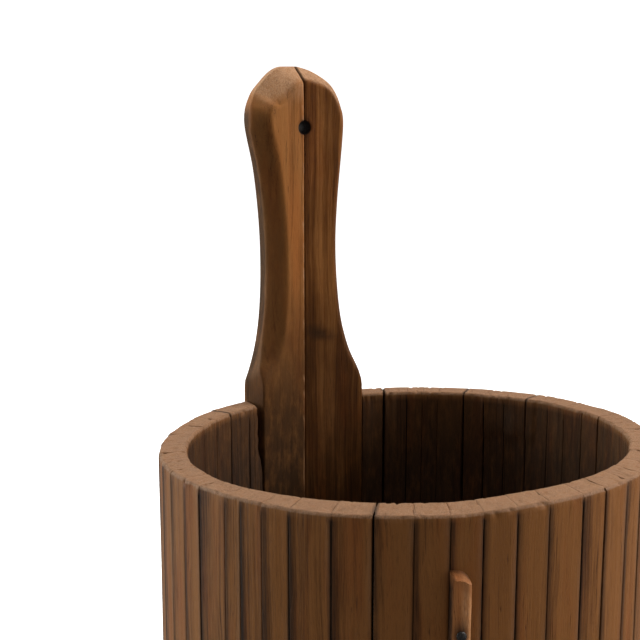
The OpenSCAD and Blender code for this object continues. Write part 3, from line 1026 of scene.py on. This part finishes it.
def hoop_rivets():
    """Four domed rivets through the lap of each hoop."""
    head_z = 2 * HOOP_T + 0.05
    profile = [(RIVET_SHANK_R, -1.6), (RIVET_SHANK_R, head_z - 0.2), (RIVET_HEAD_R - 0.1, head_z - 0.2)]
    for t in np.radians(range(10, 90, 10)):
        profile.append((RIVET_HEAD_R * math.cos(t), head_z + RIVET_HEAD_H * math.sin(t) * 0.98))
    parts = []
    for number, node in enumerate(HOOPS):
        low, high = span(node, Z)
        for side in (-1, 1):
            direction = lap_direction(node) + side * RIVET_STEP / RIM_R
            for share in RIVET_ROWS:
                verts, faces = lathe(profile, 28, 0.07, number * 3 + share + side)
                parts.append((standing_out(verts, direction, low + (high - low) * share), faces))
    verts, faces = joined(parts)
    add_piece("hoop_rivets", verts, faces, HOOP_IRON, "hoop_iron", grain=verts + 33.0)


# -------- cleat and nails

CLEAT_FACE_N, CLEAT_SIDE_N = 12, 12
CLEAT_WIDTH = 11
CLEAT_PROUD = 8
CLEAT_DIR = math.radians(249.2)
CLEAT_BOTTOM, CLEAT_TOP = span("cleat", Z)
CLEAT_ARRIS = 2.4
# Radii of the top's rounding: outwards, and down to the right
CLEAT_ROUND_OUT = 5.4
CLEAT_ROUND_RIGHT = 7.2
CLEAT_NAIL_Z = (CLEAT_TOP - 33, CLEAT_TOP - 65)


def round_drop(radius, along):
    """How far an arc has fallen at a distance along its tangent."""
    return radius - np.sqrt(np.clip(radius**2 - along**2, 0, None))


def cleat():
    length = CLEAT_TOP - CLEAT_BOTTOM
    h = np.concatenate([
        [0, 0.6, 2, 4],
        np.linspace(7, length - 14, 24),
        length - 13 * (1 - np.sin(np.radians(np.linspace(4, 90, 16)))),
    ])
    levels = len(h)
    arris = np.full(levels, CLEAT_ARRIS)
    arris[0] = 0.5
    width, proud = np.full(levels, CLEAT_WIDTH), np.full(levels, CLEAT_PROUD)
    x, out = block_section(width, proud, arris, CLEAT_FACE_N, CLEAT_SIDE_N)
    across = x - CLEAT_WIDTH / 2
    up = np.repeat(h[:, None], x.shape[1], axis=1)
    # the foot is cut back, and the top rounds over outwards and down to the right
    foot = 4 * np.clip(1 - up / 5, 0, 1)
    out = np.where(up < 5, out * (CLEAT_PROUD - foot) / CLEAT_PROUD, out)
    drop = round_drop(CLEAT_ROUND_OUT, np.clip(out - (CLEAT_PROUD - 5), 0, 5))
    drop = drop + round_drop(CLEAT_ROUND_RIGHT, np.clip(across + 1.5, 0, 7))
    z = CLEAT_BOTTOM + up - drop * np.clip((up - (length - 26)) / 26, 0, 1)
    out = out - 0.25 + 0.25 * np.sin(up / 9)
    wall_r = outer_r(z) * np.cos(np.arcsin(np.clip(across / RIM_R, -1, 1))) - 0.3
    radial = wall_r + out
    cos, sin = math.cos(CLEAT_DIR), math.sin(CLEAT_DIR)
    px, py = radial * cos - across * sin, radial * sin + across * cos
    verts, faces = block(np.stack([px, py, z], axis=2), CLEAT_FACE_N, CLEAT_SIDE_N)
    # the same points in the cleat's own axes: sideways to the right, outwards and up
    vz = verts[:, Z]
    along_out = verts[:, X] * cos + verts[:, Y] * sin
    sideways = -verts[:, X] * sin + verts[:, Y] * cos
    local = np.c_[sideways, along_out, vz]
    whittled = 0.25 * wobble(local, (5, 5, 22), 8.8) + 0.08 * wobble(local, (1.4, 3, 40), 1.8) - 0.2
    verts[:, X] += whittled * cos
    verts[:, Y] += whittled * sin
    # the face is painted pale on its right as a highlight from the right-hand light; the left side, the
    # part by the wall and the rounded top are painted darker as shade; the nails have stained it
    reach = (along_out - outer_r(vz)) / CLEAT_PROUD
    cap = smoothstep(CLEAT_TOP - 13, CLEAT_TOP - 4, vz + 0.8 * sideways)
    # painted highlight on the right of the face
    rub_and_highlight = 0.95 * smoothstep(-1.4, 1.2, sideways + 0.8 * wobble(local, (9, 9, 20), 6.1))
    wear = np.where(reach > 0.45, rub_and_highlight * (1 - 0.6 * cap), 0.2)
    left_side_shade = 0.92 * smoothstep(-4.0, -5.3, sideways) * (1 - 0.5 * cap)
    # painted shade by the wall and on the rounded top, with the left side's painted shade
    dirt = np.maximum(0.5 * smoothstep(0.4, 0.1, reach), left_side_shade)
    dirt = np.maximum(dirt, 0.2 * cap)
    for nail_z in CLEAT_NAIL_Z:
        stain = spot(sideways, vz, -0.5, nail_z, 3.6, 6.5) * smoothstep(0.5, 0.8, reach)
        dirt = np.maximum(dirt, 0.85 * stain)
    add_piece(
        "cleat", verts, faces, CLEAT_WOOD, "cleat_wood",
        grain=local + 55.0, tone=np.full(len(verts), 0.35), wear=wear, dirt=dirt,
    )


def cleat_nails():
    """Two flat-headed nails through the cleat into the stave."""
    top = CLEAT_PROUD
    profile = [
        (1.1, -9.5), (1.25, top - 0.6), (2.6, top - 0.5), (2.75, top - 0.1),
        (2.5, top + 0.35), (1.6, top + 0.7), (0.5, top + 0.8),
    ]
    parts = []
    for number, z in enumerate(CLEAT_NAIL_Z):
        verts, faces = lathe(profile, 24, 0.12, number + 0.7)
        parts.append((standing_out(verts, CLEAT_DIR, z), faces))
    verts, faces = joined(parts)
    add_piece("cleat_nails", verts, faces, NAIL_IRON, "nail_iron", grain=verts + 12.0)


# -------- dowels


def kept_node(node, material, along):
    """A CAD node that stays as it is, with a better material. along is the axis of its grain."""
    mesh = frame["nodes"][node].data
    points = cad_points(node)
    add_layer(mesh, "grain", np.roll(points, 2 - along, axis=1))
    add_layer(mesh, "tone", np.full(len(points), 0.6))
    mesh.materials.clear()
    mesh.materials.append(material)


# -------- studio

SWEEP_R, SWEEP_BEND, SWEEP_H = 6.0, 2.5, 9.0
SWEEP_STEPS = 96
SWEEP_GLOW = 0.86


def sweep():
    """A pale floor that curves up into a backdrop all round. Sizes in metres."""
    rings = [(SWEEP_R * k / 6, 0.0) for k in range(1, 7)]
    for a in np.radians(range(10, 91, 10)):
        rings.append((SWEEP_R + SWEEP_BEND * math.sin(a), SWEEP_BEND * (1 - math.cos(a))))
    rings.append((SWEEP_R + SWEEP_BEND, SWEEP_H))
    turns = np.linspace(0, 2 * math.pi, SWEEP_STEPS, endpoint=False)
    verts = [(r * math.cos(a), r * math.sin(a), z) for r, z in rings for a in turns]
    middle = len(verts)
    verts.append((0.0, 0.0, 0.0))
    faces = [(middle, k, (k + 1) % SWEEP_STEPS) for k in range(SWEEP_STEPS)]
    faces += [face[::-1] for face in skin(len(rings), SWEEP_STEPS)]
    mesh = bpy.data.meshes.new("sweep")
    mesh.from_pydata(verts, [], faces)
    mesh.polygons.foreach_set("use_smooth", [True] * len(mesh.polygons))
    t = Tree("pale_sweep")
    t.shader.inputs["Base Color"].default_value = (0.85, 0.85, 0.85, 1)
    t.shader.inputs["Emission Color"].default_value = (1, 1, 1, 1)
    t.shader.inputs["Emission Strength"].default_value = SWEEP_GLOW
    t.shader.inputs["Roughness"].default_value = 0.9
    t.shader.inputs["Specular IOR Level"].default_value = 0.1
    mesh.materials.append(t.material)
    backdrop = bpy.data.objects.new("sweep", mesh)
    backdrop.visible_diffuse = False
    backdrop.visible_glossy = False
    bpy.context.scene.collection.objects.link(backdrop)


def area_light(name, place, target, size, power, color=(1, 1, 1)):
    data = bpy.data.lights.new(name, "AREA")
    data.shape = "RECTANGLE"
    data.size, data.size_y = size
    data.energy = power
    data.color = color
    light = bpy.data.objects.new(name, data)
    light.location = place
    direction = Vector(target) - Vector(place)
    light.rotation_euler = direction.to_track_quat("-Z", "Y").to_euler()
    bpy.context.scene.collection.objects.link(light)


# The side from which the sky gives least light, and the sky's strength there and opposite
DIM_SIDE = (-0.49, -0.8, -0.35)
SKY_DIM, SKY_BRIGHT = 0.31, 0.46


def studio():
    """Soft light from both sides, above and behind, and less from the front, which is towards -X -Y."""
    world = bpy.data.worlds.new("studio")
    world.use_nodes = True
    nodes, links = world.node_tree.nodes, world.node_tree.links
    place = nodes.new("ShaderNodeTexCoord")
    facing = nodes.new("ShaderNodeVectorMath")
    facing.operation = "DOT_PRODUCT"
    facing.inputs[1].default_value = DIM_SIDE
    links.new(place.outputs["Generated"], facing.inputs[0])
    shade = nodes.new("ShaderNodeMapRange")
    for key, value in {"From Min": -0.5, "From Max": 0.8, "To Min": SKY_BRIGHT, "To Max": SKY_DIM}.items():
        shade.inputs[key].default_value = value
    links.new(facing.outputs["Value"], shade.inputs["Value"])
    links.new(shade.outputs[0], nodes["Background"].inputs["Strength"])
    nodes["Background"].inputs["Color"].default_value = (1, 1, 1, 1)
    bpy.context.scene.world = world
    bpy.context.scene.view_settings.view_transform = "Standard"
    area_light("right_key", (1.85, -0.78, 1.5), (0, 0, 0.42), (1.1, 1.1), 56)
    area_light("left_rim", (-1.45, 1.35, 1.0), (0, 0, 0.42), (1.1, 1.6), 42, (0.86, 0.96, 1))
    area_light("top", (0.3, 0.7, 2.4), (0, 0, 0.4), (1.8, 1.8), 24)


# Place in metres. The heading turns clockwise from +Y, the pitch is downwards and the roll lifts the
# camera's right side
CAMERA_PLACE = (-0.4725, -0.7660, 0.6321)
CAMERA_HEADING = math.radians(28.325)
CAMERA_PITCH = math.radians(9.956)
CAMERA_ROLL = math.radians(0.151)
CAMERA_LENS = 85.76
CAMERA_SENSOR = 36


def camera():
    forward = Vector((
        math.sin(CAMERA_HEADING) * math.cos(CAMERA_PITCH),
        math.cos(CAMERA_HEADING) * math.cos(CAMERA_PITCH),
        -math.sin(CAMERA_PITCH),
    ))
    level = forward.cross(Vector((0, 0, 1))).normalized()
    upright = level.cross(forward)
    side = level * math.cos(CAMERA_ROLL) + upright * math.sin(CAMERA_ROLL)
    top = upright * math.cos(CAMERA_ROLL) - level * math.sin(CAMERA_ROLL)
    data = bpy.data.cameras.new("camera")
    data.lens = CAMERA_LENS
    data.sensor_width = CAMERA_SENSOR
    view = bpy.data.objects.new("camera", data)
    turn = Matrix((side, top, -forward)).transposed()
    view.matrix_world = Matrix.Translation(CAMERA_PLACE) @ turn.to_4x4()
    bpy.context.scene.collection.objects.link(view)
    bpy.context.scene.camera = view


# -------- everything together

camera()
studio()
sweep()
staves()
handle_board("handle_board_left", LEFT, LEFT_EDGE_A, LEFT_OUTLINE, 0.74)
handle_board("handle_board_right", RIGHT, RIGHT_EDGE_A, RIGHT_OUTLINE, -0.08)
for number in range(1, 1 + len(HEAD_BOARDS)):
    head_board(number)
for number, node in enumerate(HOOPS):
    hoop(node, number + 1)
hoop_rivets()
cleat()
cleat_nails()
kept_node("handle_dowels", DOWEL_WOOD, X)
kept_node("head_dowels", DOWEL_WOOD, Y)
